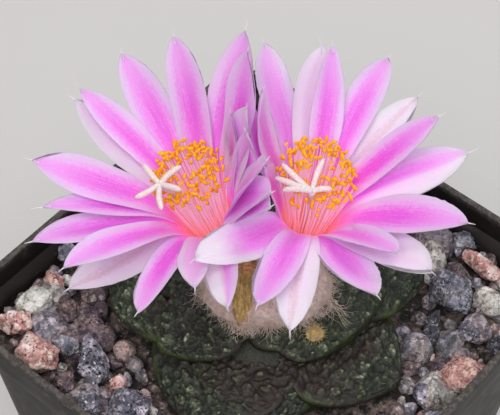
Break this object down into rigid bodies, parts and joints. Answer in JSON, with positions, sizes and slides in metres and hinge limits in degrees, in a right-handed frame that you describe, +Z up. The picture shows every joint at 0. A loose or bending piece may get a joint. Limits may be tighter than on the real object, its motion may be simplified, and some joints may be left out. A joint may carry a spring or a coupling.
{
  "type": "potted living rock cactus",
  "caption": "Square plastic pot with gravel holding a flat rosette cactus of thick fissured tubercles, a woolly crown and open pink blooms.",
  "frame": {"origin": "centre of the pot's underside, on the surface that it stands on", "axes": "+Z up, the pot's sides along X and Y, the corner between its +X and -Y sides towards the pictured view"},
  "size_m": [0.07, 0.07, 0.1159],
  "materials": {
    "pot_plastic": "thin moulded dark plastic, dusty and lightly scuffed, lime haze along the rim",
    "soil": "dark crumbly potting soil",
    "gravel": "small crushed granite, mixed pink, grey and dark grains",
    "stone_pink": "pink and orange feldspar granite with pale and dark grains, rough broken faces",
    "stone_mauve": "mauve-brown granite with fine dark speckle",
    "stone_white": "white quartz granite with grey grains",
    "stone_grey": "mid grey granite, fine salt and pepper grain",
    "stone_speckled": "black and white speckled granite",
    "stone_dark": "dark grey crystalline stone with pale glints",
    "cactus_skin": "dark green fissured and warty skin with grey-green bumps and smooth yellow-green margins",
    "wool": "matted beige plant wool with loose silky hairs",
    "wool_tuft": "yellowish tuft of old wool",
    "dried_remnant": "dry papery brown-yellow flower remnant",
    "tepal": "satin petals, magenta with darker stripe and pale lilac edge, outer ones white",
    "stamen": "yellow pollen-dusted anthers on pale pink filaments",
    "pistil": "cream white velvety stigma lobes"
  },
  "bodies": {
    "root": {"bloom_left_pistil": "pistil", "bloom_left_stamens": "stamen", "bloom_left_tepals": "tepal", "bloom_right_pistil": "pistil", "bloom_right_stamens": "stamen", "bloom_right_tepals": "tepal", "cactus_body": "cactus_skin", "crown_wool": "wool", "dried_flower": "dried_remnant", "gravel_bed": "gravel", "pot": "pot_plastic", "potting_soil": "soil", "stone_beige_left": "stone_mauve", "stone_blue_right": "stone_grey", "stone_brown_left": "stone_mauve", "stone_cream_left": "stone_pink", "stone_dark_back_left": "stone_dark", "stone_dark_front": "stone_dark", "stone_dark_front_long": "stone_dark", "stone_dark_right_long": "stone_dark", "stone_dark_right_shiny": "stone_dark", "stone_dark_right_speckled": "stone_speckled", "stone_grey_back": "stone_grey", "stone_grey_back_right": "stone_grey", "stone_grey_front": "stone_grey", "stone_grey_left_back": "stone_grey", "stone_grey_right_far": "stone_grey", "stone_grey_right_large": "stone_grey", "stone_grey_right_round": "stone_grey", "stone_greywhite_left": "stone_grey", "stone_mauve_front": "stone_mauve", "stone_mauve_left": "stone_mauve", "stone_orange_back": "stone_pink", "stone_orange_right_long": "stone_pink", "stone_pink_front": "stone_pink", "stone_pink_left_edge": "stone_pink", "stone_pink_left_large": "stone_pink", "stone_pink_right_large": "stone_pink", "stone_red_left": "stone_pink", "stone_speckled_front_large": "stone_speckled", "stone_speckled_left_long": "stone_speckled", "stone_speckled_left_round": "stone_speckled", "stone_speckled_right": "stone_speckled", "stone_white_back": "stone_white", "stone_white_front": "stone_white", "stone_white_left": "stone_white", "stone_white_right_front": "stone_white", "tubercle_wool": "wool_tuft"}
  },
  "joints": []
}
